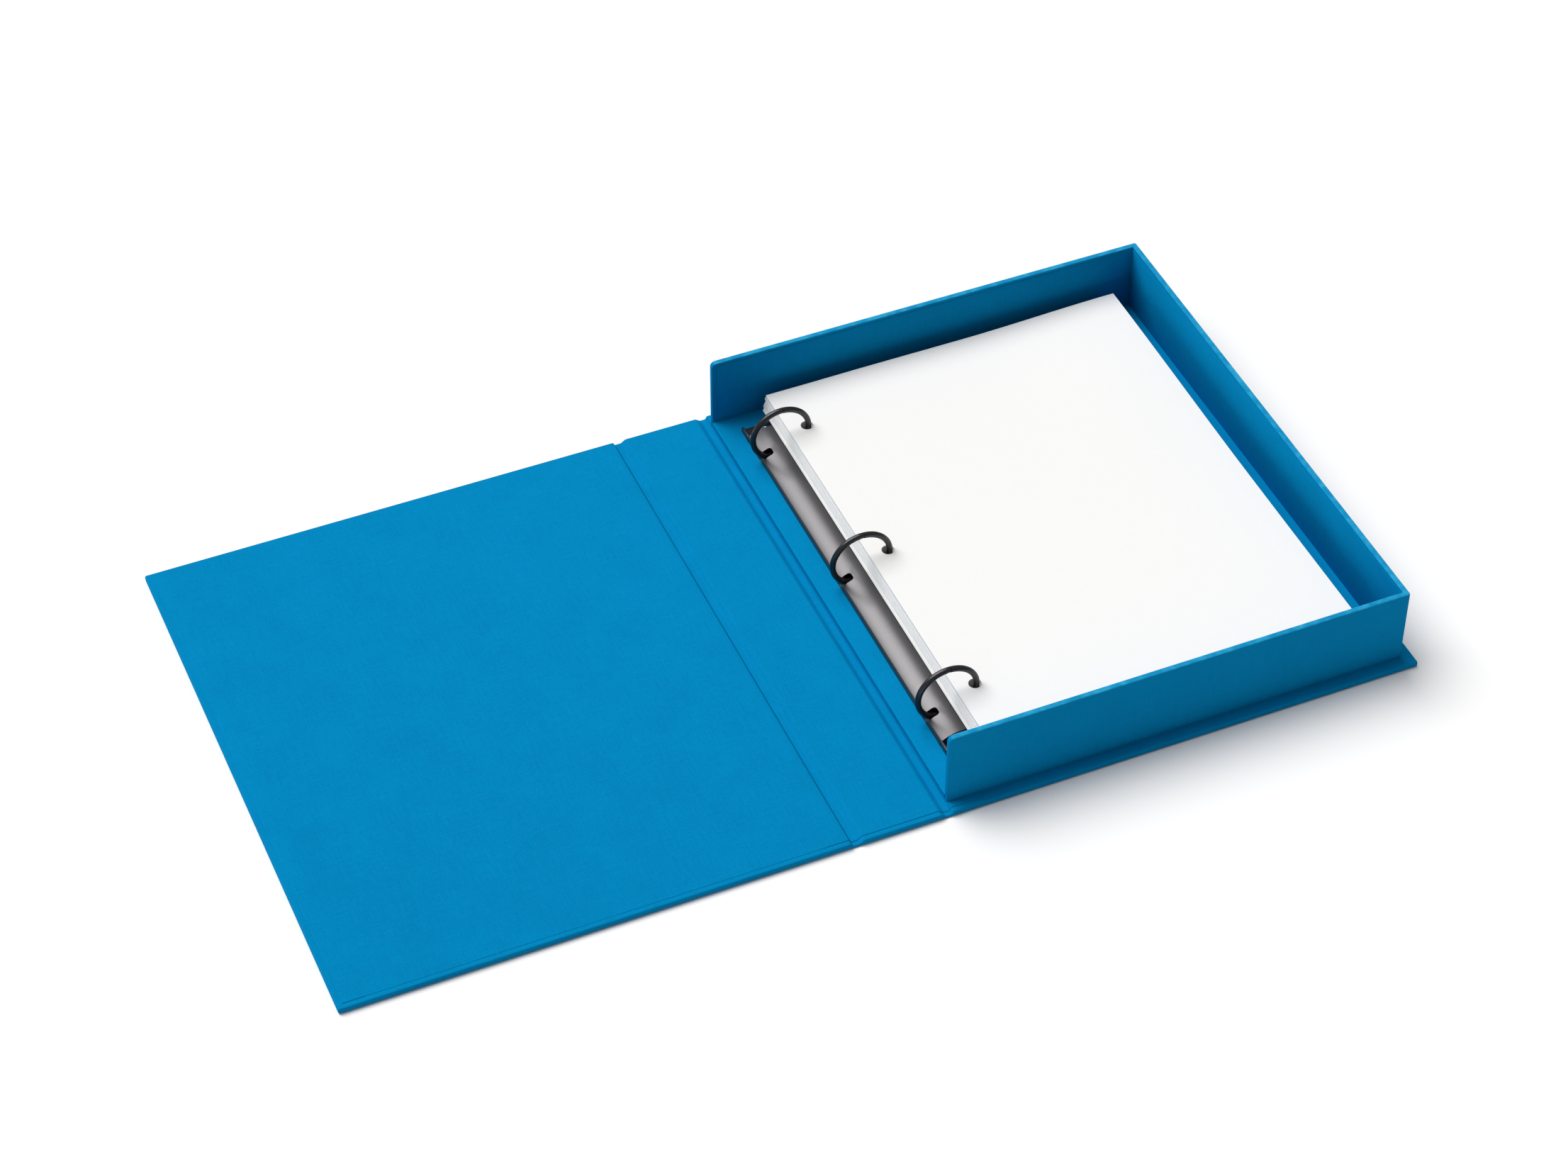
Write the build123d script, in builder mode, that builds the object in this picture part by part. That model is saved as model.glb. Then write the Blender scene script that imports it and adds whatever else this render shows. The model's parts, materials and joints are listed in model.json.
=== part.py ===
from build123d import *
import math
import os

# A clamshell ring binder lying open: a cloth-covered case of cover, spine and back panels, a
# three-walled tray on the back panel, a three-ring mechanism riveted to the tray floor, and a
# loose stack of punched letter paper on its rings.
# +X runs from the cover to the tray, +Y from the tail to the head, +Z up from the table.
# The origin is under the middle of the open binder. All sizes are in millimetres.

os.makedirs("parts", exist_ok=True)

# ---- sheet materials ------------------------------------------------------------------------
board_t = 2.7  # greyboard
cloth_t = 0.4  # outer bookcloth
lining_t = 0.3  # inner bookcloth lining
turn_in = 15.0  # width of cloth folded round a board's edge
lining_inset = 3.0  # bare border left round a lining

# ---- case: widths along X, from the cover's fore-edge to the back panel's fore-edge ---------
case_depth = 326.0
cover_w = 270.8
cover_groove_w = 4.8
spine_w = 46.4
back_groove_w = 4.4
back_w = 269.6

half_depth = case_depth / 2
open_w = cover_w + cover_groove_w + spine_w + back_groove_w + back_w
cover_x = (-open_w / 2, -open_w / 2 + cover_w)
spine_x = (cover_x[1] + cover_groove_w, cover_x[1] + cover_groove_w + spine_w)
back_x = (spine_x[1] + back_groove_w, open_w / 2)

board_z = (cloth_t, cloth_t + board_t)
panel_edge_z = cloth_t + board_t + cloth_t  # top of a turned-in edge
panel_z = panel_edge_z + lining_t  # top of a lined panel
strip_z = cloth_t + lining_t  # top of the bare cloth in a hinge groove

# ---- tray -----------------------------------------------------------------------------------
tray_x = (back_x[0], 291.8)
tray_half = 156.0
wall_top = 49.3
wall_t = cloth_t + board_t + lining_t
wall_lip = 2.0  # depth of cloth turned over a wall's top edge
end_lip = 2.4  # width of cloth turned round a wall's free end
corner_r = 3.0  # rounded top corner of each free wall end
glue_strip_w = 20.0  # hinge lining carried under the tray
under_flap_w = 12.0  # wall cloth folded under the tray
base_z = (panel_z, panel_z + board_t)
floor_z = base_z[1] + lining_t
wall_board_z = (panel_z, wall_top - cloth_t)
inner_x1 = tray_x[1] - wall_t
inner_half = tray_half - wall_t

# ---- hinges: folding lines of the cloth, just above the table -------------------------------
fold_z = 0.6
fold_gap = 0.5  # cloth left out on each side of a folding line
closing_gap = 0.1
spine_fold_x = tray_x[0] - closing_gap - (panel_z - fold_z)
cover_fold_x = spine_fold_x - (wall_top + closing_gap + panel_z - 2 * fold_z)

# ---- ring mechanism -------------------------------------------------------------------------
ring_x = 52.4
ring_y = 4.1
ring_pitch = 107.95
ring_r = 16.6
ring_z = floor_z + 17.2
wire_r = 1.65
ring_end_u = 7.0  # distance of a half ring's lower end from the middle of the mechanism
lap = 1.0  # how far each tip reaches past the middle
lap_gap = 0.05
tip_angle = 8.0  # spare turn of wire that the tips are cut from
tip_reach = 6 * wire_r  # longer than any tip
ring_ys = [ring_y + k * ring_pitch for k in (-1, 0, 1)]

plate_half_w = 12.0
plate_skirt = 3.2
plate_h = 7.2
plate_t = 1.0
plate_half_len = 135.7
pad_len = 9.3
slot_w = 5.6
slot_u = 5.5  # inner end of a slot, from the middle of the plate
slot_lip = 0.9  # strip of skirt left below each slot
ear_h = 4.2
ear_len = 10.5
ear_corner_r = 2.5
rivet_y = 130.9
rivet_shank_r = 1.9
rivet_head_r = 4.0
rivet_head_t = 0.8
rivet_collar_r = 2.6  # outside of the rolled rim on the pad
rivet_mouth_r = 1.2  # hollow inside the shank
rivet_roll_h = 0.75
rivet_clearance = 0.05

ring_opening = 12.0  # angle that each leaf turns through, in degrees
leaf_t = 1.0
leaf_tilt = ring_opening / 2
leaf_pivot_u = 10.4
leaf_pivot_z = floor_z + 2.5
leaf_w = 10.25
leaf_half_len = 124.0

# ---- paper: US letter sheets, three holes ---------------------------------------------------
paper_w = 215.9
paper_l = 279.4
hole_r = 3.5
hole_margin = 11.1
sheaf_count = 6
stack_left_z = (floor_z + plate_h + 0.2, ring_z + 0.3)
stack_right_z = (floor_z + 0.1, ring_z + 0.3)
drop_u = (20.0, 80.0)  # where the sheets come down from the plate to the tray floor
hole_u = (14.0, 15.7)  # hole centres of the lowest and highest sheaf
sheaf_gap = 0.02
sheet_t = 0.25
sheet_u = 15.6
sheet_fold = 30.0  # width of the top sheet's punched margin
sheet_fold_gap = 0.1
# each sheaf's small offset along X and Y from a square stack
jitter = [(-0.2, -0.6), (0.1, 0.5), (0.1, 0.1), (0.1, -0.4), (0.1, 0.6), (0.0, -0.2)]

overshoot = 1.0  # how far a cutting block reaches past the face it opens
tolerance = 0.01  # for picking an edge by its height


def block(x, y, z, mode=Mode.ADD):
    """Add or cut a plain block given by its limits along X, Y and Z."""
    with Locations((sum(x) / 2, sum(y) / 2, sum(z) / 2)):
        Box(x[1] - x[0], y[1] - y[0], z[1] - z[0], mode=mode)


def finish(piece, label):
    """Name a finished piece and write it out."""
    piece.part.label = label
    export_step(piece.part, f"parts/{label}.step")


def section_plane(x, y, z):
    """A plane across the binder: its x is +X, its y is +Z, and it is extruded along -Y."""
    return Plane(origin=(x, y, z), x_dir=(1, 0, 0), z_dir=(0, -1, 0))


# ---- case panels ----------------------------------------------------------------------------
# Each panel is a greyboard, an outer cloth that wraps the open edges and is turned in over the
# board, and a lining glued over the turn-ins. At a groove the lining dips to the outer cloth.
full_y = (-half_depth, half_depth)
board_y = (-half_depth + cloth_t, half_depth - cloth_t)
window_y = (-half_depth + turn_in, half_depth - turn_in)
lining_y = (-half_depth + lining_inset, half_depth - lining_inset)

cover_board_x = (cover_x[0] + cloth_t, cover_x[1] - cloth_t)
spine_board_x = (spine_x[0] + cloth_t, spine_x[1] - cloth_t)
back_board_x = (back_x[0] + cloth_t, back_x[1] - cloth_t)

with BuildPart() as cover_board:
    block(cover_board_x, board_y, board_z)
finish(cover_board, "cover_board")

with BuildPart() as cover_cloth:
    block(cover_x, full_y, (0, panel_edge_z))
    block(cover_board_x, board_y, board_z, Mode.SUBTRACT)
    block((cover_x[0] + turn_in, cover_x[1]), window_y, (board_z[1], panel_edge_z), Mode.SUBTRACT)
    block((cover_board_x[1], cover_x[1]), lining_y, (cloth_t, panel_edge_z), Mode.SUBTRACT)
finish(cover_cloth, "cover_cloth")

with BuildPart() as cover_lining:
    block((cover_x[0] + lining_inset, cover_x[1]), lining_y, (panel_edge_z, panel_z))
    block((cover_x[0] + turn_in, cover_x[1]), window_y, (board_z[1], panel_edge_z))
    block((cover_board_x[1], cover_x[1]), lining_y, (cloth_t, panel_edge_z))
finish(cover_lining, "cover_lining")

with BuildPart() as spine_board:
    block(spine_board_x, board_y, board_z)
finish(spine_board, "spine_board")

spine_cloth_x = (cover_fold_x + fold_gap, spine_fold_x - fold_gap)

with BuildPart() as spine_cloth:
    block(spine_cloth_x, full_y, (0, cloth_t))
    block(spine_x, full_y, (cloth_t, panel_edge_z))
    block(spine_board_x, board_y, board_z, Mode.SUBTRACT)
    block(spine_x, window_y, (board_z[1], panel_edge_z), Mode.SUBTRACT)
    for edge_x in ((spine_x[0], spine_board_x[0]), (spine_board_x[1], spine_x[1])):
        block(edge_x, lining_y, (cloth_t, panel_edge_z), Mode.SUBTRACT)
finish(spine_cloth, "spine_cloth")

with BuildPart() as spine_lining:
    block(spine_x, lining_y, (panel_edge_z, panel_z))
    block(spine_x, window_y, (board_z[1], panel_edge_z))
    block((spine_cloth_x[0], spine_x[0]), lining_y, (cloth_t, strip_z))
    block((spine_x[1], spine_cloth_x[1]), lining_y, (cloth_t, strip_z))
    for edge_x in ((spine_x[0], spine_board_x[0]), (spine_board_x[1], spine_x[1])):
        block(edge_x, lining_y, (cloth_t, panel_edge_z))
finish(spine_lining, "spine_lining")

with BuildPart() as back_board:
    block(back_board_x, board_y, board_z)
finish(back_board, "back_board")

strip_x = (spine_fold_x + fold_gap, back_x[0])
glue_x1 = back_x[0] + glue_strip_w

with BuildPart() as back_cloth:
    block((strip_x[0], back_x[1]), full_y, (0, cloth_t))
    block(back_x, full_y, (cloth_t, panel_edge_z))
    block(back_board_x, board_y, board_z, Mode.SUBTRACT)
    block((back_x[0], back_x[1] - turn_in), window_y, (board_z[1], panel_edge_z), Mode.SUBTRACT)
    block((back_x[0], back_board_x[0]), lining_y, (cloth_t, panel_edge_z), Mode.SUBTRACT)
finish(back_cloth, "back_cloth")

# The strip of lining that crosses the back groove and ends under the tray.
with BuildPart() as hinge_lining:
    block(strip_x, lining_y, (cloth_t, strip_z))
    block((back_x[0], back_board_x[0]), lining_y, (cloth_t, panel_edge_z))
    block((back_x[0], glue_x1), lining_y, (panel_edge_z, panel_z))
    block((back_x[0], glue_x1), window_y, (board_z[1], panel_edge_z))
finish(hinge_lining, "hinge_lining")

# ---- tray -----------------------------------------------------------------------------------
wall_board_x = (tray_x[0] + cloth_t, tray_x[1] - cloth_t)
wall_board_half = tray_half - cloth_t
base_half = wall_board_half - board_t
base_x = (wall_board_x[0], wall_board_x[1] - board_t)
rivet_ys = [ring_y - rivet_y, ring_y + rivet_y]


def rivet_holes(radius, z):
    """Cut the two rivet holes through a flat piece of the tray floor."""
    with Locations(*[(ring_x, y, sum(z) / 2) for y in rivet_ys]):
        Cylinder(radius, z[1] - z[0], mode=Mode.SUBTRACT)


def side_wall_solid(x, y, z, end_r):
    """Add a head or tail wall's block with its free top corner rounded."""
    with BuildSketch(section_plane(x[0], y[1], z[0])) as outline:
        with BuildLine():
            Polyline((0, z[1] - z[0] - end_r), (0, 0), (x[1] - x[0], 0), (x[1] - x[0], z[1] - z[0]))
            Line((x[1] - x[0], z[1] - z[0]), (end_r, z[1] - z[0]))
            RadiusArc((end_r, z[1] - z[0]), (0, z[1] - z[0] - end_r), -end_r)
        make_face()
    extrude(outline.sketch, amount=y[1] - y[0])


with BuildPart() as tray_base_board:
    block(base_x, (-base_half, base_half), base_z)
    rivet_holes(rivet_shank_r + rivet_clearance, base_z)
    rivet_holes(rivet_head_r + rivet_clearance, (base_z[0], base_z[0] + rivet_head_t))
finish(tray_base_board, "tray_base_board")

with BuildPart() as head_wall_board:
    side_wall_solid(wall_board_x, (base_half, wall_board_half), wall_board_z, corner_r - cloth_t)
finish(head_wall_board, "head_wall_board")

with BuildPart() as tail_wall_board:
    side_wall_solid(wall_board_x, (-wall_board_half, -base_half), wall_board_z, corner_r - cloth_t)
finish(tail_wall_board, "tail_wall_board")

with BuildPart() as fore_edge_wall_board:
    block((base_x[1], wall_board_x[1]), (-base_half, base_half), wall_board_z)
finish(fore_edge_wall_board, "fore_edge_wall_board")

wall_lining_z = (floor_z, wall_top - wall_lip)
wall_lining_x0 = wall_board_x[0] + end_lip

# One strip of cloth goes round the outside of the three walls, over their top edges, round
# their free ends and under the tray.
with BuildPart() as tray_wall_cloth:
    side_wall_solid(tray_x, (inner_half, tray_half), (panel_z, wall_top), corner_r)
    side_wall_solid(tray_x, (-tray_half, -inner_half), (panel_z, wall_top), corner_r)
    block((inner_x1, tray_x[1]), (-inner_half, inner_half), (panel_z, wall_top))
    block((glue_x1, tray_x[1]), (-tray_half, tray_half), (panel_edge_z, panel_z))
    block(
        (glue_x1 - overshoot, tray_x[1] - under_flap_w),
        (-tray_half + under_flap_w, tray_half - under_flap_w),
        (panel_edge_z, panel_z),
        Mode.SUBTRACT,
    )
    block(base_x, (-base_half, base_half), (panel_z, floor_z), Mode.SUBTRACT)
    block((tray_x[0], base_x[0]), (-inner_half, inner_half), (panel_z, floor_z), Mode.SUBTRACT)
    add(head_wall_board.part, mode=Mode.SUBTRACT)
    add(tail_wall_board.part, mode=Mode.SUBTRACT)
    add(fore_edge_wall_board.part, mode=Mode.SUBTRACT)
    for side in (-1, 1):
        lining_band = sorted((side * inner_half, side * base_half))
        block((wall_lining_x0, base_x[1]), lining_band, wall_lining_z, Mode.SUBTRACT)
    block((inner_x1, base_x[1]), (-inner_half, inner_half), wall_lining_z, Mode.SUBTRACT)
finish(tray_wall_cloth, "tray_wall_cloth")

with BuildPart() as floor_lining:
    block((tray_x[0], base_x[1]), (-inner_half, inner_half), (base_z[1], floor_z))
    block((base_x[0], base_x[1]), (-base_half, base_half), (base_z[1], floor_z))
    block((tray_x[0], base_x[0]), (-inner_half, inner_half), (panel_z, base_z[1]))
    rivet_holes(rivet_shank_r + rivet_clearance, (base_z[1], floor_z))
finish(floor_lining, "floor_lining")

with BuildPart() as head_wall_lining:
    block((wall_lining_x0, inner_x1), (inner_half, base_half), wall_lining_z)
finish(head_wall_lining, "head_wall_lining")

with BuildPart() as tail_wall_lining:
    block((wall_lining_x0, inner_x1), (-base_half, -inner_half), wall_lining_z)
finish(tail_wall_lining, "tail_wall_lining")

with BuildPart() as fore_edge_wall_lining:
    block((inner_x1, base_x[1]), (-base_half, base_half), wall_lining_z)
finish(fore_edge_wall_lining, "fore_edge_wall_lining")

# ---- ring mechanism -------------------------------------------------------------------------
arch_half_len = plate_half_len - pad_len
arch_inner_h = plate_h - plate_t
arch_inner_half = plate_half_w - plate_t


def arch_face(half_w, top):
    """The outline of the arched plate, from the tray floor up, inside a sketch."""
    with BuildLine() as outline:
        Polyline((-half_w, plate_skirt), (-half_w, 0), (half_w, 0), (half_w, plate_skirt))
        ThreePointArc((half_w, plate_skirt), (0, top), (-half_w, plate_skirt))
    make_face(outline.edges())


with BuildPart() as cover_plate:
    with BuildSketch(section_plane(ring_x, ring_y, floor_z)):
        arch_face(plate_half_w, plate_h)
    extrude(amount=arch_half_len, both=True)
    with BuildSketch(section_plane(ring_x, ring_y, floor_z)):
        arch_face(arch_inner_half, arch_inner_h)
    extrude(amount=arch_half_len - plate_t, both=True, mode=Mode.SUBTRACT)
    # flat riveting pads and their side ears, beyond each end of the arch
    pad_x = (ring_x - arch_inner_half, ring_x + arch_inner_half)
    pad_z = (floor_z, floor_z + plate_t)
    for side in (-1, 1):
        end_y = ring_y + side * plate_half_len
        block(pad_x, sorted((ring_y + side * (arch_half_len - plate_t), end_y)), pad_z)
        for u in (-1, 1):
            ear_x = sorted((ring_x + u * arch_inner_half, ring_x + u * plate_half_w))
            block(ear_x, sorted((end_y, end_y - side * ear_len)), (floor_z, floor_z + ear_h))
    across = cover_plate.edges().filter_by(Axis.X)
    ear_tops = across.filter_by(lambda edge: abs(edge.center().Z - floor_z - ear_h) < tolerance)
    fillet(ear_tops.sort_by(Axis.Y)[:2] + ear_tops.sort_by(Axis.Y)[-2:], radius=ear_corner_r)
    rivet_holes(rivet_shank_r + rivet_clearance, pad_z)
    # a slot through each flank for each half ring, open above a strip of the skirt
    for y in ring_ys:
        for u in (-1, 1):
            round_x = ring_x + u * (slot_u + slot_w / 2)
            slot_x = sorted((round_x, ring_x + u * (plate_half_w + overshoot)))
            slot_z = (floor_z + slot_lip, floor_z + plate_h + overshoot)
            block(slot_x, (y - slot_w / 2, y + slot_w / 2), slot_z, Mode.SUBTRACT)
            with Locations((round_x, y, sum(slot_z) / 2)):
                Cylinder(slot_w / 2, slot_z[1] - slot_z[0], mode=Mode.SUBTRACT)
finish(cover_plate, "cover_plate")


def make_half_ring(side, y):
    """One half of a round ring: side -1 is the left half, 1 is the right half."""
    # it is turned from a little past the top round to its lower end, then its tip is cut
    end_angle = 90 + math.degrees(math.acos(ring_end_u / ring_r))
    start = math.radians(90 + side * tip_angle)
    radial = (math.cos(start), 0, math.sin(start))
    tangent = (-math.sin(start), 0, math.cos(start))
    with BuildPart() as half_ring:
        with BuildSketch(Plane(origin=(ring_x, y, ring_z), x_dir=radial, z_dir=tangent)):
            with Locations((ring_r, 0)):
                Circle(wire_r)
        revolve(axis=Axis((ring_x, y, ring_z), (0, side, 0)), revolution_arc=tip_angle + end_angle)
        # the tips lap side by side: the left tip on the tail side, the right on the head side
        tip_z = (ring_z + ring_r - 3 * wire_r, ring_z + ring_r + 3 * wire_r)
        long_y = (y - 2 * wire_r, y + 2 * wire_r)
        far_x = sorted((ring_x - side * lap, ring_x - side * tip_reach))
        block(far_x, long_y, tip_z, Mode.SUBTRACT)
        near_x = sorted((ring_x + side * (lap + lap_gap), ring_x - side * tip_reach))
        other_half = sorted((y + side * lap_gap / 2, y - side * 2 * wire_r))
        block(near_x, other_half, tip_z, Mode.SUBTRACT)
    return half_ring


half_rings = {}
for side_name, side in (("left", -1), ("right", 1)):
    for place, y in zip(("tail", "middle", "head"), ring_ys):
        half_rings[side, place] = make_half_ring(side, y)
        finish(half_rings[side, place], f"half_ring_{side_name}_{place}")

tilt = math.radians(leaf_tilt)
for side_name, side in (("left", -1), ("right", 1)):
    leaf_plane = Plane(
        origin=(ring_x + side * leaf_pivot_u, ring_y, leaf_pivot_z),
        x_dir=(-side * math.cos(tilt), 0, -math.sin(tilt)),
        z_dir=(0, side, 0),
    )
    with BuildPart() as leaf:
        with BuildSketch(leaf_plane):
            with Locations((leaf_w / 2, 0)):
                Rectangle(leaf_w, leaf_t)
            Circle(leaf_t / 2)
        extrude(amount=leaf_half_len, both=True)
        for place in ("tail", "middle", "head"):
            add(half_rings[side, place].part, mode=Mode.SUBTRACT)
    finish(leaf, f"{side_name}_leaf")

collar_z = floor_z + plate_t
hollow_z = base_z[0] + 2 * rivet_head_t
for place, y in zip(("tail", "head"), rivet_ys):
    with BuildPart() as rivet:
        with BuildSketch(section_plane(ring_x, y, 0)):
            with BuildLine():
                Polyline(
                    (0, base_z[0]),
                    (rivet_head_r, base_z[0]),
                    (rivet_head_r, base_z[0] + rivet_head_t),
                    (rivet_shank_r, base_z[0] + rivet_head_t),
                    (rivet_shank_r, collar_z),
                    (rivet_collar_r, collar_z),
                )
                roll_top = (rivet_shank_r, collar_z + rivet_roll_h)
                ThreePointArc((rivet_collar_r, collar_z), roll_top, (rivet_mouth_r, collar_z))
                Polyline(
                    (rivet_mouth_r, collar_z),
                    (rivet_mouth_r, hollow_z),
                    (0, hollow_z),
                    (0, base_z[0]),
                )
            make_face()
        revolve(axis=Axis((ring_x, y, 0), (0, 0, 1)))
    finish(rivet, f"rivet_{place}")

# ---- paper ----------------------------------------------------------------------------------
sheaf_left_t = (stack_left_z[1] - stack_left_z[0]) / sheaf_count
sheaf_right_t = (stack_right_z[1] - stack_right_z[0]) / sheaf_count

for i in range(sheaf_count):
    dx, dy = jitter[i]
    hole_at = hole_u[0] + (hole_u[1] - hole_u[0]) * i / (sheaf_count - 1) + dx
    left = hole_at - hole_margin
    right = left + paper_w
    low = (stack_left_z[0] + i * sheaf_left_t, stack_right_z[0] + i * sheaf_right_t)
    high = (low[0] + sheaf_left_t - sheaf_gap, low[1] + sheaf_right_t - sheaf_gap)
    with BuildPart() as sheaf:
        with BuildSketch(section_plane(ring_x, ring_y + dy, 0)):
            with BuildLine():
                Polyline(
                    (left, low[0]),
                    (drop_u[0], low[0]),
                    (drop_u[1], low[1]),
                    (right, low[1]),
                    (right, high[1]),
                    (drop_u[1], high[1]),
                    (drop_u[0], high[0]),
                    (left, high[0]),
                    close=True,
                )
            make_face()
        extrude(amount=paper_l / 2, both=True)
        with Locations(*[(ring_x + hole_at, y, sum(stack_left_z) / 2) for y in ring_ys]):
            Cylinder(hole_r, stack_left_z[1], mode=Mode.SUBTRACT)
    finish(sheaf, f"paper_sheaf_{i + 1}")

sheet_z = (stack_left_z[1], stack_left_z[1] + sheet_t)
sheet_left = ring_x + sheet_u - hole_margin
sheet_y = (ring_y - paper_l / 2, ring_y + paper_l / 2)

with BuildPart() as top_sheet_margin:
    block((sheet_left, sheet_left + sheet_fold - sheet_fold_gap), sheet_y, sheet_z)
    with Locations(*[(ring_x + sheet_u, y, sum(sheet_z) / 2) for y in ring_ys]):
        Cylinder(hole_r, 4 * sheet_t, mode=Mode.SUBTRACT)
finish(top_sheet_margin, "top_sheet_margin")

with BuildPart() as top_sheet:
    block((sheet_left + sheet_fold + sheet_fold_gap, sheet_left + paper_w), sheet_y, sheet_z)
finish(top_sheet, "top_sheet")

print(f"open width {open_w:.1f}, spine fold x {spine_fold_x:.2f}, cover fold x {cover_fold_x:.2f}")
print(f"tray floor z {floor_z:.2f}, ring centre z {ring_z:.2f}, leaf pivot z {leaf_pivot_z:.2f}")
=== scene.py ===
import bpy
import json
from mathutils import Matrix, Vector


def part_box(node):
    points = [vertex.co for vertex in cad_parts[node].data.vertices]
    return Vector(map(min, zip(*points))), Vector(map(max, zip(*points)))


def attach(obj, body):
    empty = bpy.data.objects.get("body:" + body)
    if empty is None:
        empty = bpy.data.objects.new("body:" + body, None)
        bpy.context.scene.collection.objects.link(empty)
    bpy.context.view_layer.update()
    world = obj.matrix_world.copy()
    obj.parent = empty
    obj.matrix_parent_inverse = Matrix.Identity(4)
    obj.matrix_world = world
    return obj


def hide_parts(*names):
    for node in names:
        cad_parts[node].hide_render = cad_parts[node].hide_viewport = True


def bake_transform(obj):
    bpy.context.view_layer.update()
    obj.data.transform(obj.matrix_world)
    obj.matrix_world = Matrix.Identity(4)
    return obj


bl_info = {
    "name": "Clamshell ring binder",
    "version": (1, 0, 0),
    "blender": (4, 5, 0),
    "location": "View3D > Sidebar > Ring binder",
    "description": "Book cloth, paper, black metal and a studio stage for a clamshell ring binder",
    "category": "Object",
}

import json
import math
from bisect import bisect

import bmesh
import bpy
from bpy.props import FloatProperty, FloatVectorProperty, IntProperty, PointerProperty
from mathutils import Matrix, Vector
from mathutils.geometry import delaunay_2d_cdt

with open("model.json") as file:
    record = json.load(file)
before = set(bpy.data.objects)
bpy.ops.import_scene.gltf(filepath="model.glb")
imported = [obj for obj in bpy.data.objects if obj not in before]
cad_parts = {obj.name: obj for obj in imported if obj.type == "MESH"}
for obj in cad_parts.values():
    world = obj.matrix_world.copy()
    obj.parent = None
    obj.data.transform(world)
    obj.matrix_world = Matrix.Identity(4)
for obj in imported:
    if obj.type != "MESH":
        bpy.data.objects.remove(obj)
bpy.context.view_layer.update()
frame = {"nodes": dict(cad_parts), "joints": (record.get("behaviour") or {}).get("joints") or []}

MM = 0.001
X, Y, Z = 0, 1, 2
SIDES = (-1, 1)
NEAR = 0.01  # places closer than this count as the same
CLOTH_UV = "cloth_uv"


# ---- places and sizes read from the frame, in millimetres -----------------------------------
def span(node, axis):
    """Lowest and highest place of a node along one axis, in millimetres."""
    low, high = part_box(node)
    return low[axis] / MM, high[axis] / MM


def joint_place(name, axis):
    """Where a hinge's line stands along one axis, in millimetres."""
    joint = next(j for j in frame["joints"] if j["name"] == name)
    return joint["pos_m"][axis] / MM


cloth_t = span("cover_board", Z)[0]
half_depth = span("cover_cloth", Y)[1]
edge_z = span("cover_cloth", Z)[1]
panel_z = span("cover_lining", Z)[1]
lining_t = panel_z - edge_z
lining_half = span("cover_lining", Y)[1]
lining_inset = half_depth - lining_half
cover_x = span("cover_cloth", X)
spine_x = tuple(x + side * cloth_t for x, side in zip(span("spine_board", X), SIDES))
back_x = (span("back_board", X)[0] - cloth_t, span("back_cloth", X)[1])
tray_x = span("tray_wall_cloth", X)
tray_half = span("tray_wall_cloth", Y)[1]
wall_top = span("tray_wall_cloth", Z)[1]
floor_z = span("floor_lining", Z)[1]
inner_x1 = span("fore_edge_wall_lining", X)[0]
inner_half = span("head_wall_lining", Y)[0]
glue_x1 = span("hinge_lining", X)[1]
ring_x = joint_place("page_turn", X)
ring_z = joint_place("page_turn", Z)
ring_ys = [sum(span(f"half_ring_left_{place}", Y)) / 2 for place in ("tail", "middle", "head")]
ring_pitch = ring_ys[1] - ring_ys[0]
wire_r = (span("half_ring_left_middle", Y)[1] - span("half_ring_left_middle", Y)[0]) / 2
ring_r = span("half_ring_right_middle", X)[1] - ring_x - wire_r
cover_fold_x = joint_place("cover_hinge", X)
spine_fold_x = joint_place("spine_hinge", X)
page_fold_x = joint_place("page_curl", X)
paper_top = span("top_sheet", Z)[0]


# ---- sizes and colours that a user would change ---------------------------------------------
class BinderCloth(bpy.types.PropertyGroup):
    colour: FloatVectorProperty(
        name="Colour", description="Dye of the book cloth", subtype="COLOR", min=0, max=1,
        default=(0.0004, 0.236, 0.51),
    )
    worn: FloatVectorProperty(
        name="Worn colour", description="Rubbed threads on the edges", subtype="COLOR", min=0, max=1,
        default=(0.04, 0.42, 0.68),
    )
    thread: FloatProperty(
        name="Thread", description="Width of one thread", unit="LENGTH", default=0.42 * MM, precision=5
    )
    fold_radius: FloatProperty(
        name="Edge radius", description="Rounding of a covered board's edge", unit="LENGTH",
        default=0.8 * MM, precision=5,
    )


class BinderMetal(bpy.types.PropertyGroup):
    colour: FloatVectorProperty(
        name="Black plating", description="Colour of the rings and the cover plate", subtype="COLOR",
        min=0, max=1, default=(0.115, 0.111, 0.114),
    )
    roughness: FloatProperty(
        name="Roughness", description="Dullness of the black plating", default=0.36, min=0, max=1
    )
    rivet: FloatVectorProperty(
        name="Rivet", description="Colour of the nickel-plated rivets", subtype="COLOR", min=0, max=1,
        default=(0.62, 0.6, 0.57),
    )


class BinderPaper(bpy.types.PropertyGroup):
    colour: FloatVectorProperty(
        name="Colour", description="Colour of the writing paper", subtype="COLOR", min=0, max=1,
        default=(0.86, 0.855, 0.845),
    )
    sheets: IntProperty(name="Sheets", description="Sheets shown in each sheaf", default=15, min=1, max=40)
    spread: FloatProperty(
        name="Spread", description="How far sheets stand out of line", unit="LENGTH",
        default=0.13 * MM, precision=5,
    )
    thickness: FloatProperty(
        name="Thickness", description="Thickness of one sheet", unit="LENGTH",
        default=0.125 * MM, precision=5,
    )
    lift: FloatProperty(
        name="Corner lift", description="How far the top sheet's far corner stands up", unit="LENGTH",
        default=2.4 * MM, precision=5,
    )


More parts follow.
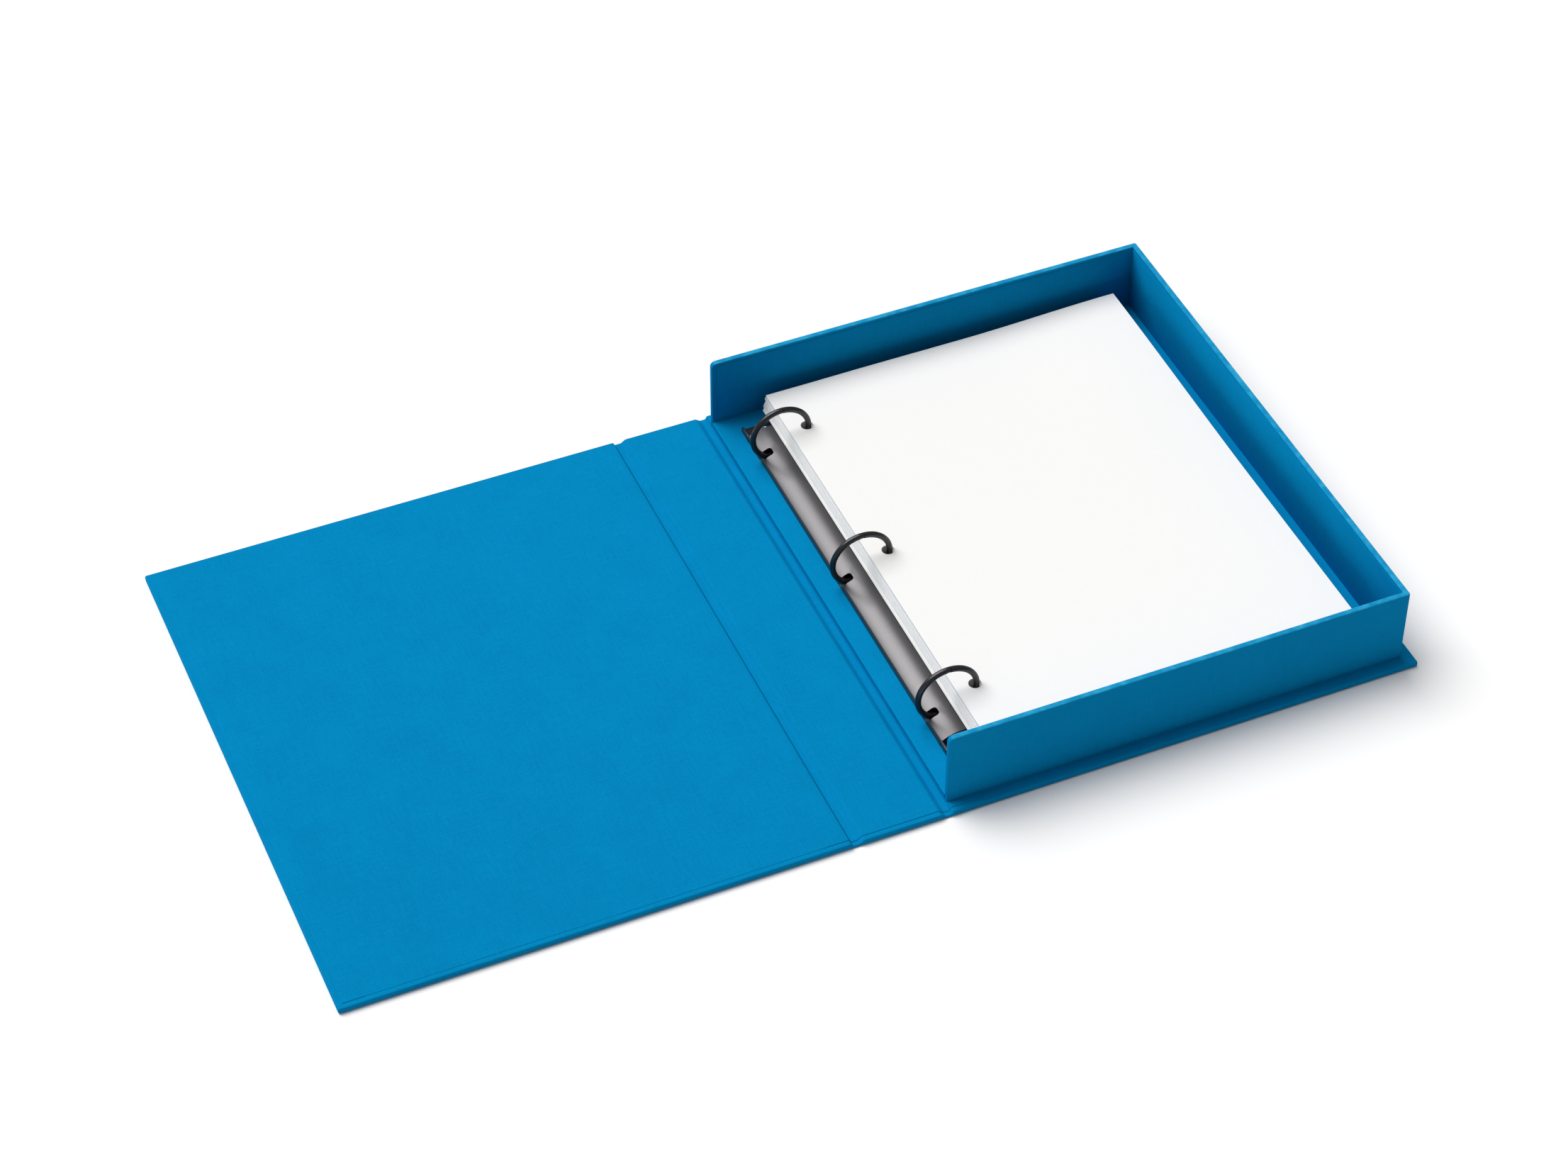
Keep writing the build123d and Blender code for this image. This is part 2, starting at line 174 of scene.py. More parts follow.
class BinderStage(bpy.types.PropertyGroup):
    lens: FloatProperty(name="Focal length", description="Camera lens", unit="CAMERA", default=88.23)
    key: FloatProperty(name="Key light", description="Strength of the large soft light", default=3.1)
    softness: FloatProperty(
        name="Softness", description="How wide the large light looks", subtype="ANGLE",
        default=math.radians(48),
    )
    sky: FloatProperty(name="Sky", description="Strength of the light from all round", default=0.27)
    floor: FloatVectorProperty(
        name="Floor", description="Colour of the table", subtype="COLOR", min=0, max=1,
        default=(0.93, 0.925, 0.92),
    )


# ---- meshes ---------------------------------------------------------------------------------
def add_piece(name, mesh, material, sharp=35.0):
    """Put a finished mesh in the scene, smooth apart from edges sharper than an angle."""
    mesh.name = name
    mesh.shade_smooth()
    mesh.set_sharp_from_angle(angle=math.radians(sharp))
    mesh.materials.clear()
    mesh.materials.append(material)
    piece = bpy.data.objects.new(name, mesh)
    bpy.context.scene.collection.objects.link(piece)
    return piece


def mesh_of(points, faces):
    """A mesh from points in millimetres."""
    mesh = bpy.data.meshes.new("mesh")
    mesh.from_pydata([Vector(p) * MM for p in points], [], faces)
    return mesh


def tidy_mesh(mesh):
    """Merge doubles and point every face outwards."""
    shape = bmesh.new()
    shape.from_mesh(mesh)
    bmesh.ops.remove_doubles(shape, verts=shape.verts, dist=0.001 * MM)
    bmesh.ops.recalc_face_normals(shape, faces=shape.faces)
    shape.to_mesh(mesh)
    shape.free()
    return mesh


def lay_cloth(mesh):
    """Give a mesh the cloth's UV map: metres along the threads, taken square on to each face."""
    uv = mesh.uv_layers.new(name=CLOTH_UV)
    for face in mesh.polygons:
        facing = max((X, Y, Z), key=lambda axis: abs(face.normal[axis]))
        across, up = [axis for axis in (X, Y, Z) if axis != facing]
        for corner in face.loop_indices:
            point = mesh.vertices[mesh.loops[corner].vertex_index].co
            uv.data[corner].uv = (point[across], point[up])
    return mesh


def evenly(start, end, count):
    """Places from start to end, in a number of equal steps."""
    return [start + (end - start) * i / count for i in range(count + 1)]


def section(x, low, high, half, radius, steps=5):
    """Points round a rounded section that stands across the binder at x, counted from below."""
    r = min(radius, (high - low) / 2)
    points = []
    for turn, (side, z) in enumerate(((1, low + r), (1, high - r), (-1, high - r), (-1, low + r))):
        quarter = arc((side * (half - r), z), r, 90 * turn - 90, 90 * turn, steps)
        points += [(x, *point) for point in quarter]
    return points


def join_rings(first, second, count):
    """Faces between two rings of points, given by their first point's number."""
    return [
        (first + i, first + (i + 1) % count, second + (i + 1) % count, second + i) for i in range(count)
    ]


def skin(rings, first=0):
    """Faces over a run of rings whose points are numbered on from the first."""
    count = len(rings[0])
    starts = [first + k * count for k in range(len(rings))]
    return [face for a, b in zip(starts, starts[1:]) for face in join_rings(a, b, count)]


def caps(rings, first=0):
    """A face over each end of a run of rings."""
    count = len(rings[0])
    last = first + (len(rings) - 1) * count
    return [tuple(range(start, start + count)) for start in (first, last)]


def loft(*runs):
    """Closed skins over runs of rings of points."""
    points, faces = [], []
    for rings in runs:
        faces += skin(rings, len(points)) + caps(rings, len(points))
        points += [p for ring in rings for p in ring]
    return tidy_mesh(mesh_of(points, faces))


def sleeve(outer, inner, closed):
    """A sleeve with a wall, open at its far end; closed tells whether its near end is closed."""
    count = len(outer[0])
    base = len(outer) * count
    faces = skin(outer) + skin(inner, base)
    faces += join_rings(base - count, base + (len(inner) - 1) * count, count)
    if closed:
        faces += [tuple(range(count)), tuple(range(base, base + count))]
    else:
        faces += join_rings(0, base, count)
    return tidy_mesh(mesh_of([p for ring in [*outer, *inner] for p in ring], faces))


def rounded_end(edge, low, high, half, radius, plan_radius, steps=6):
    """Rings over a slab's rounded left end, from its edge inwards."""
    rings = []
    for angle in evenly(90, 0, steps):
        depth = radius * (1 - math.sin(math.radians(angle)))
        rise = radius * (1 - math.cos(math.radians(angle)))
        off = max(plan_radius - depth, 0)
        pull = plan_radius - math.sqrt(plan_radius**2 - off**2)
        rings.append(section(edge + depth, low + rise, high - rise, half - pull, radius))
    return rings


def smooth(value, low, high):
    """0 below low, 1 above high, and smooth between."""
    share = min(max((value - low) / (high - low), 0), 1)
    return share * share * (3 - 2 * share)


def arc(centre, radius, start, end, steps=6):
    """Points on an arc in a plane, by its angles in degrees."""
    angles = [math.radians(angle) for angle in evenly(start, end, steps)]
    return [(centre[0] + radius * math.cos(a), centre[1] + radius * math.sin(a)) for a in angles]


def groove_line(ends, left, right, high, low, steps=10):
    """The line of a hinge groove from one panel's top, down, across and up to the next panel.

    left and right are (groove's edge, reach of the slope outside it, reach of the slope within it).
    """

    def slope(edge, out, within, way):
        start, end = edge - way * out, edge + way * within
        shares = evenly(0, 1, steps)
        return [(start + (end - start) * s, high + (low - high) * smooth(s, 0, 1)) for s in shares]

    down, up = slope(*left, 1), slope(*right, -1)[::-1]
    flat = [(x, low) for x in evenly(down[-1][0], up[0][0], steps)[1:-1]]
    return [(ends[0], high), *down, *flat, *up, (ends[1], high)]


def slab(x, y, z, rounds, steps):
    """A block with some edges rounded: rounds is a list of (radius, test of an edge's middle)."""
    shape = bmesh.new()
    bmesh.ops.create_cube(shape, size=1)
    for vert in shape.verts:
        for axis, limits in enumerate((x, y, z)):
            vert.co[axis] = limits[vert.co[axis] > 0]
    return round_edges(shape, rounds, steps)


def round_edges(shape, rounds, steps):
    """Round the convex edges that each test picks, one radius after another."""
    sharp = math.radians(50)
    for radius, test in rounds:
        shape.normal_update()
        folds = [e for e in shape.edges if len(e.link_faces) == 2 and e.is_convex]
        folds = [e for e in folds if e.calc_face_angle() > sharp]
        edges = [e for e in folds if test((e.verts[0].co + e.verts[1].co) / 2)]
        bmesh.ops.bevel(
            shape, geom=edges, offset=radius, segments=steps, profile=0.5, affect="EDGES",
            clamp_overlap=True,
        )
    bmesh.ops.recalc_face_normals(shape, faces=shape.faces)
    for vert in shape.verts:
        vert.co *= MM
    mesh = bpy.data.meshes.new("mesh")
    shape.to_mesh(mesh)
    shape.free()
    return mesh


def inside(point, outline):
    """Whether a point in a plane lies within a closed outline."""
    odd = False
    for (x1, y1), (x2, y2) in zip(outline, outline[1:] + outline[:1]):
        if (y1 > point[1]) != (y2 > point[1]) and point[0] < x1 + (x2 - x1) * (point[1] - y1) / (y2 - y1):
            odd = not odd
    return odd


def circle(centre, radius, steps=28):
    """Points round a circle in a plane."""
    return arc(centre, radius, 0, 360, steps)[:-1]


def cut_sheet(columns, lines, holes, place, clear=0.8):
    """A sheet cut from a rectangle, with holes.

    columns and lines are the places of its grid, which stay clear of the holes' edges; place turns
    a point of the flat sheet into a point of its top face and a point of its underside.
    """
    rim = [(columns[0], lines[0]), (columns[-1], lines[0]), (columns[-1], lines[-1]), (columns[0], lines[-1])]
    grid = [(a, b) for a in columns for b in lines]
    edges = [p for hole in holes for p in hole]
    near = [p for p in grid if any(math.dist(p, q) < clear for q in edges)]
    grid = [p for p in grid if p not in near and not any(inside(p, hole) for hole in holes)]
    points, faces = list(grid), []
    for outline in (rim, *holes):
        faces.append(list(range(len(points), len(points) + len(outline))))
        points += outline
    flat, _, triangles, *_ = delaunay_2d_cdt([Vector(p) for p in points], [], faces, 1, 1e-5)
    kept = []
    for triangle in triangles:
        middle = sum((flat[i] for i in triangle), Vector((0, 0))) / 3
        if inside(middle, rim) and not any(inside(middle, hole) for hole in holes):
            kept.append(tuple(triangle))
    count = len(flat)
    pairs = [place(p.x, p.y) for p in flat]
    solid = [low for top, low in pairs] + [top for top, low in pairs]
    skins = [tuple(reversed(t)) for t in kept] + [tuple(i + count for i in t) for t in kept]
    sides = {(t[i], t[(i + 1) % 3]) for t in kept for i in range(3)}
    skins += [(a, b, b + count, a + count) for a, b in sides if (b, a) not in sides]
    return tidy_mesh(mesh_of(solid, skins))


def punched_sheet(y, hole_x, hole_r, thickness, columns, rows=8):
    """One flat sheet of paper with a round hole for each ring."""
    holes = [circle((hole_x, hole_y), hole_r) for hole_y in ring_ys]
    half = thickness / 2
    return cut_sheet(columns, evenly(*y, rows), holes, lambda a, b: ((a, b, half), (a, b, -half)))


def joined(meshes):
    """One mesh from several."""
    shape = bmesh.new()
    for mesh in meshes:
        shape.from_mesh(mesh)
    mesh = bpy.data.meshes.new("mesh")
    shape.to_mesh(mesh)
    shape.free()
    return mesh


# ---- node trees -----------------------------------------------------------------------------
class Socket:
    """A node's output, on which Python's operators add Math nodes."""

    def __init__(self, graph, socket):
        self.graph = graph
        self.socket = socket

    def maths(self, operation, *values):
        return self.graph.add("ShaderNodeMath", {"operation": operation}, dict(enumerate(values)))

    def __add__(self, other):
        return self.maths("ADD", self, other)

    def __radd__(self, other):
        return self.maths("ADD", other, self)

    def __sub__(self, other):
        return self.maths("SUBTRACT", self, other)

    def __rsub__(self, other):
        return self.maths("SUBTRACT", other, self)

    def __mul__(self, other):
        return self.maths("MULTIPLY", self, other)

    def __rmul__(self, other):
        return self.maths("MULTIPLY", other, self)

    def __truediv__(self, other):
        return self.maths("DIVIDE", self, other)

    def __abs__(self):
        return self.maths("ABSOLUTE", self)

    def sine(self):
        return self.maths("SINE", self)

    def ramp(self, low, high):
        """0 below low, 1 above high, and smooth between."""
        settings = {"interpolation_type": "SMOOTHSTEP"}
        return self.graph.add("ShaderNodeMapRange", settings, {0: self, 1: low, 2: high, 3: 0.0, 4: 1.0})

    def part(self, axis):
        return self.graph.add("ShaderNodeSeparateXYZ", {}, {0: self}, axis)


class Graph:
    """Adds nodes to a node tree and joins them."""

    def __init__(self, tree):
        self.tree = tree

    def add(self, kind, settings, inputs, output=0):
        node = self.tree.nodes.new(kind)
        for name, value in settings.items():
            setattr(node, name, value)
        for name, value in inputs.items():
            self.feed(node.inputs[name], value)
        return Socket(self, node.outputs[output])

    def feed(self, target, value):
        if isinstance(value, Socket):
            self.tree.links.new(value.socket, target)
        else:
            target.default_value = value

    def vector(self, x, y, z=0.0):
        return self.add("ShaderNodeCombineXYZ", {}, {0: x, 1: y, 2: z})

    def noise(self, vector, scale, detail=2.0):
        return self.add("ShaderNodeTexNoise", {}, {"Vector": vector, "Scale": scale, "Detail": detail})

    def mix(self, share, first, second):
        settings = {"data_type": "RGBA", "clamp_factor": True}
        return self.add("ShaderNodeMix", settings, {0: share, 6: first, 7: second}, 2)

    def bump(self, shader, strength, depth, height):
        """Raise a shader's surface by a height, with depth in millimetres."""
        inputs = {"Strength": strength, "Distance": depth * MM, "Height": height}
        self.feed(shader.inputs["Normal"], self.add("ShaderNodeBump", {}, inputs))

    def shade(self, colour, amount):
        """A colour times a value."""
        scaled = self.vector(amount, amount, amount)
        return self.add("ShaderNodeVectorMath", {"operation": "MULTIPLY"}, {0: colour, 1: scaled})


def new_material(name, **constants):
    """A material with one Principled shader; constants are set on the shader's own sockets."""
    material = bpy.data.materials.new(name)
    material.use_nodes = True
    shader = material.node_tree.nodes["Principled BSDF"]
    for socket, value in constants.items():
        shader.inputs[socket.replace("_", " ")].default_value = value
    return material, Graph(material.node_tree), shader


def opaque(colour):
    """A colour with its alpha."""
    return (*colour, 1.0)


def object_place(graph):
    """The Object output of a Texture Coordinate node."""
    return graph.add("ShaderNodeTexCoord", {}, {}, 3)


def bookcloth(name, wear_from=None, wear_over=1.0):
    """Plain-woven book cloth with slubs and painted shade in the hollows of its weave; above the height
    wear_from its threads are rubbed pale.
    """
    look = bpy.context.scene.binder_cloth
    material, graph, shader = new_material(name, Specular_IOR_Level=0.02)
    uv = graph.add("ShaderNodeUVMap", {"uv_map": CLOTH_UV}, {})
    along = uv.part(X) / look.thread
    across = uv.part(Y) / look.thread
    warp = (along * math.pi).sine()
    weft = (across * math.pi).sine()
    over = warp * weft * 0.5 + 0.5
    height = abs(warp) * over + abs(weft) * (1.0 - over)
    slub_warp = graph.noise(graph.vector(along * 0.75, across * 0.028), 1.0)
    slub_weft = graph.noise(graph.vector(along * 0.028, across * 0.75, 9.0), 1.0)
    mottle = graph.noise(object_place(graph), 38.0, 3.0)
    grain = graph.noise(object_place(graph), 1500.0, 3.0)
    # painted shade: the colour darkens where the weave's height is low, between the threads; slubs, mottle
    # and grain are the cloth's own uneven tone
    tone = 0.80 + 0.22 * height + 0.2 * (slub_warp - 0.5) + 0.2 * (slub_weft - 0.5)
    tone = tone + 0.12 * (mottle - 0.5) + 0.34 * (grain - 0.5)
    colour = graph.shade(look.colour, tone)
    if wear_from is not None:
        place = object_place(graph)
        rubbed = place.part(Z).ramp(wear_from * MM, (wear_from + wear_over) * MM)
        patch = graph.noise(place, 160.0, 4.0).ramp(0.35, 0.75)
        colour = graph.mix(rubbed * (0.16 + 0.55 * patch), colour, opaque(look.worn))
    graph.feed(shader.inputs["Base Color"], colour)
    graph.feed(shader.inputs["Roughness"], 0.92 - 0.14 * height)
    lumps = height + 0.9 * (slub_warp + slub_weft)
    graph.bump(shader, 0.55, 0.11, lumps)
    return material


def writing_paper():
    """White paper with a faint cloudy formation."""
    look = bpy.context.scene.binder_paper
    material, graph, shader = new_material("writing_paper", Specular_IOR_Level=0.3)
    place = object_place(graph)
    cloud = graph.noise(place, 260.0, 4.0)
    fibre = graph.noise(place, 1900.0, 2.0)
    tone = 0.985 + 0.02 * cloud + 0.012 * fibre
    graph.feed(shader.inputs["Base Color"], graph.shade(look.colour, tone))
    graph.feed(shader.inputs["Roughness"], 0.72 + 0.12 * cloud)
    graph.bump(shader, 0.25, 0.02, fibre)
    return material


def black_plating(name, share):
    """Black nickel plating with a soft sheen and a faint orange-peel; share scales its colour, and a share
    below 1 gives a darker copy with painted shade.
    """
    look = bpy.context.scene.binder_metal
    material, graph, shader = new_material(name, Metallic=0.92)
    place = object_place(graph)
    peel = graph.noise(place, 520.0, 3.0)
    stain = graph.noise(place, 45.0, 3.0)
    tone = share * (0.86 + 0.2 * stain + 0.08 * peel)
    graph.feed(shader.inputs["Base Color"], graph.shade(look.colour, tone))
    graph.feed(shader.inputs["Roughness"], look.roughness - 0.05 + 0.1 * stain)
    graph.bump(shader, 0.12, 0.03, peel)
    return material


def rubbed_metal(name, colour, roughness, stretch):
    """Bare or nickel-plated metal with fine marks drawn out along one axis."""
    material, graph, shader = new_material(name, Metallic=1.0)
    place = object_place(graph)
    drawn = graph.add("ShaderNodeVectorMath", {"operation": "MULTIPLY"}, {0: place, 1: stretch})
    marks = graph.noise(drawn, 900.0, 3.0)
    graph.feed(shader.inputs["Base Color"], graph.shade(colour, 0.85 + 0.3 * marks))
    graph.feed(shader.inputs["Roughness"], roughness + 0.18 * marks)
    return material


def greyboard():
    """Grey board made of pulped paper, flecked with light and dark fibres."""
    material, graph, shader = new_material("greyboard", Specular_IOR_Level=0.2)
    place = object_place(graph)
    flecks = graph.noise(place, 1400.0, 4.0)
    cloud = graph.noise(place, 120.0, 3.0)
    tone = 0.6 + 0.5 * flecks + 0.3 * cloud
    graph.feed(shader.inputs["Base Color"], graph.shade((0.27, 0.25, 0.22), tone))
    graph.feed(shader.inputs["Roughness"], 0.82 + 0.15 * cloud)
    graph.bump(shader, 0.4, 0.06, flecks)
    return material


def kept_material(name, make, *values):
    """The named material, made when it is first asked for."""
    return bpy.data.materials.get(name) or make(*values)


def cloth_material():
    """The cloth of the case and the linings."""
    return kept_material("woven_bookcloth", bookcloth, "woven_bookcloth")


def wall_material():
    """The cloth of the walls, rubbed pale on their top edges."""
    return kept_material("woven_wall_cloth", bookcloth, "woven_wall_cloth", wall_top - 0.6, 0.5)


# ---- Geometry Nodes -------------------------------------------------------------------------
def start_tree(name, inputs):
    """An empty geometry tree with named inputs, and its input and output nodes."""
    tree = bpy.data.node_groups.new(name, "GeometryNodeTree")
    tree.interface.new_socket("Geometry", in_out="INPUT", socket_type="NodeSocketGeometry")
    for label, kind, value in inputs:
        socket = tree.interface.new_socket(label, in_out="INPUT", socket_type="NodeSocket" + kind)
        if value is not None:
            socket.default_value = value
    tree.interface.new_socket("Geometry", in_out="OUTPUT", socket_type="NodeSocketGeometry")
    graph = Graph(tree)
    source = tree.nodes.new("NodeGroupInput")
    given = {s.name: Socket(graph, s) for s in source.outputs if s.name}
    return tree, graph, given


def end_tree(tree, graph, geometry, material):
    """Finish a tree with Realize Instances and Set Material."""
    whole = graph.add("GeometryNodeRealizeInstances", {}, {0: geometry})
    painted = graph.add("GeometryNodeSetMaterial", {}, {"Geometry": whole, "Material": material})
    result = tree.nodes.new("NodeGroupOutput")
    graph.feed(result.inputs[0], painted)


def row_tree():
    """Repeats a piece along a straight row."""
    name = "binder_row"
    if name in bpy.data.node_groups:
        return bpy.data.node_groups[name]
    inputs = [("Count", "Int", 3), ("Start", "Vector", None), ("Step", "Vector", None)]
    inputs += [("Material", "Material", None)]
    tree, graph, given = start_tree(name, inputs)
    line = graph.add(
        "GeometryNodeMeshLine", {"mode": "OFFSET"},
        {"Count": given["Count"], "Start Location": given["Start"], "Offset": given["Step"]},
    )
    placed = graph.add("GeometryNodeInstanceOnPoints", {}, {"Points": line, "Instance": given["Geometry"]})
    end_tree(tree, graph, placed, given["Material"])
    return tree


def stack_tree():
    """Stacks copies of one flat sheet between two surfaces that come down from left to right."""
    name = "binder_sheaf"
    if name in bpy.data.node_groups:
        return bpy.data.node_groups[name]
    surfaces = ["Drop start", "Drop end", "Low left", "Low right", "High left", "High right"]
    inputs = [("Sheets", "Int", 11), ("Seed", "Int", 1)]
    inputs += [(label, "Float", 0.0) for label in (*surfaces, "Spread", "Slant")]
    inputs += [("Material", "Material", None)]
    tree, graph, given = start_tree(name, inputs)
    line = graph.add(
        "GeometryNodeMeshLine", {"mode": "OFFSET"}, {"Count": given["Sheets"], "Offset": (0.0, 0.0, 0.0)}
    )
    placed = graph.add("GeometryNodeInstanceOnPoints", {}, {"Points": line, "Instance": given["Geometry"]})
    index = graph.add("GeometryNodeInputIndex", {}, {})
    marked = graph.add(
        "GeometryNodeStoreNamedAttribute", {"data_type": "FLOAT", "domain": "INSTANCE"},
        {"Geometry": placed, "Name": "sheet", "Value": index},
    )
    sheets = graph.add("GeometryNodeRealizeInstances", {}, {0: marked})
    sheet = graph.add("GeometryNodeInputNamedAttribute", {"data_type": "FLOAT"}, {"Name": "sheet"})
    place = graph.add("GeometryNodeInputPosition", {}, {})
    fall = place.part(X).ramp(given["Drop start"], given["Drop end"])
    low = given["Low left"] + (given["Low right"] - given["Low left"]) * fall
    high = given["High left"] + (given["High right"] - given["High left"]) * fall
    share = (sheet + 0.5) / given["Sheets"]
    shifts = []
    for seed_step in (0, 50):
        random = graph.add(
            "FunctionNodeRandomValue", {"data_type": "FLOAT"},
            {2: -1.0, 3: 1.0, "ID": sheet, "Seed": given["Seed"] + seed_step}, 1,
        )
        shifts.append(random * given["Spread"])
    slanted = shifts[0] + given["Slant"] * (share - 0.5)
    offset = graph.vector(slanted, shifts[1], low + (high - low) * share)
    moved = graph.add("GeometryNodeSetPosition", {}, {"Geometry": sheets, "Offset": offset})
    end_tree(tree, graph, moved, given["Material"])
    return tree


def run_tree(piece, tree, values):
    """Turn a piece into a plain mesh made by a geometry tree."""
    modifier = piece.modifiers.new("tree", "NODES")
    modifier.node_group = tree
    for item in tree.interface.items_tree:
        if item.in_out == "INPUT" and item.name in values:
            modifier[item.identifier] = values[item.name]
    shown = piece.evaluated_get(bpy.context.evaluated_depsgraph_get())
    made = bpy.data.meshes.new_from_object(shown)
    piece.modifiers.remove(modifier)
    piece.data = made
    made.name = piece.name
    if "sheet" in made.attributes:
        made.attributes.remove(made.attributes["sheet"])
    return piece


# ---- case -----------------------------------------------------------------------------------
CUT = 3.4  # how far past a groove's edge a fold piece reaches
STEEP = (0.75, 0.8)  # reach of a groove's slope outside and inside its edge
GENTLE = (2.6, 1.3)
PLAN_RADIUS = 0.6  # rounding of a panel's corners, seen from above
GROOVE_CLOTH = 1.5  # height of the folded cloth in a groove
LINING_R = 0.12  # rounding of a lining's edges
SUNK = 0.05  # how far a lining reaches into what it is pasted on
fold_1 = (cover_x[1] - CUT, spine_x[0] + CUT)
fold_2 = (spine_x[1] - CUT, back_x[0] + CUT)


def panel_cloth(x, closed, radius):
    """The cloth round a panel, with its thickness; closed tells whether its left end is."""
    outer_box = (0.0, edge_z, half_depth)
    inner_box = (cloth_t, edge_z - cloth_t, half_depth - cloth_t)
    inner_r = radius - cloth_t
    if closed:
        outer = rounded_end(x[0], *outer_box, radius, PLAN_RADIUS)
        inner = rounded_end(x[0] + cloth_t, *inner_box, inner_r, inner_r)
    else:
        outer = [section(x[0], *outer_box, radius)]
        inner = [section(x[0], *inner_box, inner_r)]
    outer.append(section(x[1], *outer_box, radius))
    inner.append(section(x[1], *inner_box, inner_r))
    return sleeve(outer, inner, closed)


def mirrored_x(mesh, middle):
    """Turn a mesh over along X about a place in millimetres."""
    for vert in mesh.vertices:
        vert.co.x = 2 * middle * MM - vert.co.x
    mesh.flip_normals()
    return mesh


class BINDER_OT_case_cloth(bpy.types.Operator):
    """Cloth wrapped round the cover, spine and back boards"""

    bl_idname = "binder.case_cloth"
    bl_label = "Case cloth"

    def execute(self, context):
        radius = context.scene.binder_cloth.fold_radius / MM
        cover = panel_cloth((cover_x[0], fold_1[0]), True, radius)
        spine = panel_cloth((fold_1[1], fold_2[0]), False, radius)
        # the back panel is closed at its right end, so it is made turned over
        back_ends = (fold_2[1], back_x[1])
        back = mirrored_x(panel_cloth(back_ends, True, radius), sum(back_ends) / 2)
        made = (("cover", cover, "cover"), ("spine", spine, "spine"), ("back", back, "tray"))
        for name, mesh, body in made:
            piece = add_piece(f"{name}_cloth_wrap", lay_cloth(mesh), cloth_material())
            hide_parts(f"{name}_cloth")
            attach(piece, body)
        return {"FINISHED"}


class BINDER_OT_case_lining(bpy.types.Operator):
    """Lining cloth pasted on the inner faces of the case"""

    bl_idname = "binder.case_lining"
    bl_label = "Case lining"

    def execute(self, context):
        low, high = edge_z - SUNK, panel_z
        full = (low, high, lining_half, LINING_R)
        turn_in = 15.0  # reach of the cloth folded in round the cover's edge
        settle = 0.14  # how far the lining sinks past that cloth
        sunk = (low, high - settle, lining_half, LINING_R)
        rings = rounded_end(cover_x[0] + lining_inset, *full, 0.1, 3)
        rings.append(section(cover_x[0] + turn_in - 1, *full))
        rings += [section(x, *sunk) for x in (cover_x[0] + turn_in + 1, fold_1[0] - 14)]
        rings += [section(x, *full) for x in (fold_1[0] - 8, fold_1[0])]
        spine = [section(x, *full) for x in (fold_1[1], fold_2[0])]
        # beside the tray the lining ends in a slanting cut
        slant = lining_half - tray_half
        hinge = [section(x, *full) for x in (fold_2[1], glue_x1 - slant)]
        hinge.append(section(glue_x1, low, high, tray_half, LINING_R))
        made = (("cover", rings, "cover"), ("spine", spine, "spine"), ("hinge", hinge, "tray"))
        for name, shape, body in made:
            piece = add_piece(f"{name}_lining_sheet", lay_cloth(loft(shape)), cloth_material())
            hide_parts(f"{name}_lining")
            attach(piece, body)
        return {"FINISHED"}


class BINDER_OT_hinge_folds(bpy.types.Operator):
    """Cloth and lining that cross the two hinge grooves"""

    bl_idname = "binder.hinge_folds"
    bl_label = "Hinge folds"

    def execute(self, context):
        radius = context.scene.binder_cloth.fold_radius / MM
        cover_groove = ((cover_x[1], *STEEP), (spine_x[0], *GENTLE))
        spine_groove = ((spine_x[1], *GENTLE), (back_x[0], *STEEP))
        grooves = (
            ("cover_fold", fold_1, cover_groove, cover_fold_x, ("cover", "spine")),
            ("spine_fold", fold_2, spine_groove, spine_fold_x, ("spine", "tray")),
        )
        reach = 0.75  # half the width of a strip round the hinge line
        for name, ends, (left, right), fold_x, bodies in grooves:
            line = groove_line(ends, left, right, edge_z, GROOVE_CLOTH)
            outer = [section(x, 0.0, z, half_depth, radius) for x, z in line]
            line = groove_line(ends, left, right, panel_z, GROOVE_CLOTH + lining_t)
            inner = [section(x, z - lining_t - SUNK, z, lining_half, LINING_R) for x, z in line]
            for kind, rings, slot in (("cloth", outer, "bookcloth"), ("lining", inner, "lining_cloth")):
                piece = add_piece(f"{name}_{kind}", lay_cloth(loft(rings)), cloth_material(), 60)
                start = ((fold_x - reach) * MM, 0, 0)
                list(bodies)
                (fold_x + reach) * MM
                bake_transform(piece)
        return {"FINISHED"}


class BINDER_OT_boards(bpy.types.Operator):
    """Greyboards inside the cloth, and the steel leaves under the cover plate"""

    bl_idname = "binder.boards"
    bl_label = "Boards and leaves"

    def execute(self, context):
        board = greyboard()
        steel = rubbed_metal("leaf_steel", (0.42, 0.42, 0.43), 0.28, (1.0, 0.04, 1.0))
        # the spine's board has crushed edges under the sloping cloth
        inset = 1.5
        x, y, z = (span("spine_board", axis) for axis in (X, Y, Z))
        mesh = slab((x[0] + inset, x[1] - inset), y, z, [(0.6, lambda p: p.z > z[1] - NEAR)], 4)
        piece = add_piece("spine_board_crushed", mesh, board)
        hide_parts("spine_board")
        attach(piece, "spine")
        for name, node in frame["nodes"].items():
            if name.endswith("_board"):
                node.data.materials.clear()
                node.data.materials.append(board)
            if name.endswith("_leaf"):
                node.data.materials.clear()
                node.data.materials.append(steel)
        return {"FINISHED"}


# ---- tray -----------------------------------------------------------------------------------
LINING_PROUD = 0.25  # how far the lining stands in from the cloth beside it


